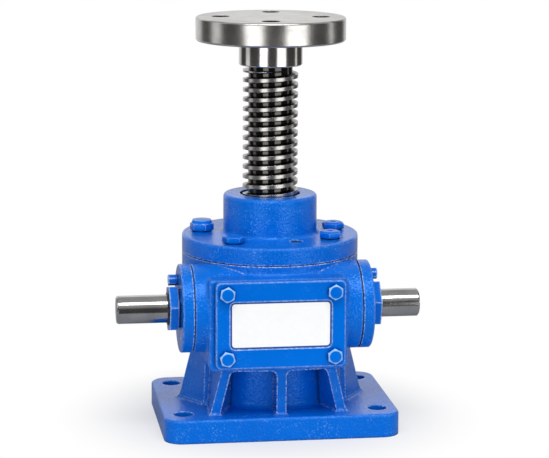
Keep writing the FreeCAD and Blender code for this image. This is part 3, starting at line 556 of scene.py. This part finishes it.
plate_steel = lathe_steel("turned_carbon_steel", "Z", light="E0DEDB", dark="B6B3AF", rough=0.14,
                          rim_rough=0.22, groove=0.0005)
shaft_steel = lathe_steel("ground_shaft_steel", "X", light="CECECD", dark="ACACAB", rough=0.13,
                          rim_rough=0.13, groove=0.0004)
finish("top_plate", plate_steel)
finish("worm_shaft", shaft_steel)

# BEARINGS
# Rings and rollers of hardened steel, pressed into their seats. A pair carries the
# worm shaft, and two thrust bearings hold the worm wheel from below and above.
for side in ("left", "right"):
    for piece in ("outer_race", "inner_race", "rollers"):
        finish(f"{side}_bearing_{piece}", shaft_steel)
for side in ("low", "up"):
    for piece in ("housing_washer", "shaft_washer", "rollers"):
        finish(f"{side}_bearing_{piece}", plate_steel)

# SMALL PARTS
# Zinc plated screws and closing disc, a machined brass plug, the worm wheel cast
# in tin bronze, and a bare label of white polyester film.
plated = plain_surface("zinc_plated_steel", "A9ADB2", "8F959C", grain=0.003, depth=0.00002, rough=0.34,
                       metal=1.0)
brass = plain_surface("machined_brass", "C8A873", "A88850", grain=0.002, depth=0.00002, rough=0.30,
                      metal=1.0)
bronze = plain_surface("cast_tin_bronze", "B88A4E", "94692F", grain=0.003, depth=0.00003, rough=0.35,
                       metal=1.0)
film = plain_surface("white_polyester_film", "FAFAF9", "F4F4F3", grain=0.004, depth=0.00001, rough=0.30)
for node in ("bottom_disc", "bottom_disc_screws", "plate_lock_screw", "stop_washer", "stop_bolt"):
    finish(node, plated)
finish("grease_plug", brass)
finish("worm_wheel", bronze)
finish("label_plate", film)

# LIFTING SCREW
# A rolled trapezoidal thread of 40 by 7 mm in oiled carbon steel, right-handed.
# It runs in the nut of the worm wheel, and above a short relief a plain spigot
# carries the top plate.
screw_foot = 0.095
thread_end = 0.2566
spigot_top = 0.286
screw_r = 0.020
root_r = 0.016
spigot_r = 0.0159
into_thread = 0.004
lead = 0.007
crest = 0.0026
flank = 0.00107
root = lead - crest - 2 * flank
# The helix starts below the foot, at the angle that brings its crests to their real heights.
start_z = 0.088
start_angle = 171.85
windings = 26
facets = 96
weld = 0.00002


def cut_flat(z, keep_below):
    """Cuts the piece in edit mode at this height and closes it with a flat end."""
    bpy.ops.mesh.select_all(action="SELECT")
    bpy.ops.mesh.bisect(plane_co=(0, 0, z), plane_no=(0, 0, 1), use_fill=True,
                        clear_outer=keep_below, clear_inner=not keep_below)


# A plane merged to one point starts the profile, which is then drawn as a chain
# over one lead: half crest, flank, root, flank, half crest.
profile = ((0, crest / 2), (root_r - screw_r, flank), (0, root), (screw_r - root_r, flank), (0, crest / 2))
bpy.ops.object.select_all(action="DESELECT")
bpy.ops.mesh.primitive_plane_add(size=0.002, location=(0, 0, 0))
thread = grab("trapezoidal_screw")
bpy.ops.object.mode_set(mode="EDIT")
bpy.ops.mesh.select_all(action="SELECT")
bpy.ops.mesh.merge(type="CENTER")
bpy.ops.transform.translate(value=(screw_r, 0, 0))
for out, up in profile:
    bpy.ops.mesh.extrude_region_move(TRANSFORM_OT_translate={"value": (out, 0, up)})
bpy.ops.object.mode_set(mode="OBJECT")
winding = thread.modifiers.new("winding", "SCREW")
winding.axis = "Z"
winding.angle = math.radians(360)
winding.screw_offset = lead
winding.iterations = windings
winding.steps = facets
winding.render_steps = facets
winding.use_merge_vertices = True
winding.merge_threshold = weld
bpy.ops.object.modifier_apply(modifier="winding")
thread.data.transform(at(0, 0, start_z) @ turned(start_angle, "Z"))
bpy.ops.object.mode_set(mode="EDIT")
cut_flat(thread_end, keep_below=True)
cut_flat(screw_foot, keep_below=False)
bpy.ops.mesh.select_all(action="SELECT")
bpy.ops.mesh.normals_make_consistent(inside=False)
bpy.ops.object.mode_set(mode="OBJECT")
bpy.ops.object.select_all(action="DESELECT")
bpy.ops.mesh.primitive_cylinder_add(vertices=facets, radius=spigot_r,
                                    depth=spigot_top - thread_end + into_thread,
                                    location=(0, 0, (spigot_top + thread_end - into_thread) / 2))
bpy.ops.object.transform_apply(location=True, rotation=True, scale=True)
carve(thread, bpy.context.object, "UNION")
bpy.ops.object.shade_smooth_by_angle(angle=math.radians(30))


def ramp_stops(ramp, stops):
    """Gives a colour ramp these stops, each a place and a colour."""
    band = ramp.color_ramp
    while len(band.elements) > 1:
        band.elements.remove(band.elements[-1])
    band.elements[0].position, band.elements[0].color = stops[0]
    for place, colour in stops[1:]:
        band.elements.new(place).color = colour


def thread_steel():
    """Rolled steel wiped with oil: bright crests, and roots painted dark, partly for the oil left in them and
    partly as painted shade in the grooves.
    """
    oil_stain = 0.002
    thread_edge_r = 0.0003
    stain_depth = 0.00002
    material = bpy.data.materials.new("oiled_rolled_steel")
    material.use_nodes = True
    tree = material.node_tree
    tree.nodes.clear()
    place = add(tree, "ShaderNodeTexCoord").outputs["Object"]
    apart = add(tree, "ShaderNodeSeparateXYZ", Vector=place)
    flat = add(tree, "ShaderNodeCombineXYZ", X=apart.outputs["X"], Y=apart.outputs["Y"])
    radius = add(tree, "ShaderNodeVectorMath", {"operation": "LENGTH"}, i0=flat.outputs[0])
    # 0 at the root and 1 at the crest.
    depth = add(tree, "ShaderNodeMapRange", Value=radius.outputs["Value"], From_Min=root_r,
                From_Max=screw_r)
    cloud = add(tree, "ShaderNodeTexNoise", Vector=place, Scale=1 / oil_stain, Detail=4.0)
    oil_and_groove_shade = add(tree, "ShaderNodeMath", {"operation": "MULTIPLY_ADD"}, i0=cloud.outputs["Fac"], i1=0.3,
                i2=depth.outputs[0])
    # The ramp paints the roots dark: partly oil, partly painted shade in the grooves.
    tint = add(tree, "ShaderNodeValToRGB", Fac=oil_and_groove_shade.outputs[0])
    ramp_stops(tint, ((0.0, tone("484644")), (0.5, tone("5A5856")), (0.85, tone("8C8A87")),
                      (1.0, tone("C2C0BD"))))
    rounded = add(tree, "ShaderNodeBevel", {"samples": 4}, Radius=thread_edge_r)
    bump = add(tree, "ShaderNodeBump", Height=cloud.outputs["Fac"], Strength=0.4, Distance=stain_depth,
               Normal=rounded.outputs[0])
    # The nut rubs the crests matt; the roots keep their wet oil.
    worn = add(tree, "ShaderNodeMapRange", Value=depth.outputs[0], From_Min=0.8, To_Min=0.10, To_Max=0.27)
    metal = add(tree, "ShaderNodeBsdfPrincipled", Base_Color=tint.outputs[0], Metallic=1.0,
                Roughness=worn.outputs[0], Normal=bump.outputs[0])
    add(tree, "ShaderNodeOutputMaterial", Surface=metal.outputs[0])
    return material


thread.data.materials.append(thread_steel())
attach(thread, "screw")
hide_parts("lead_screw")
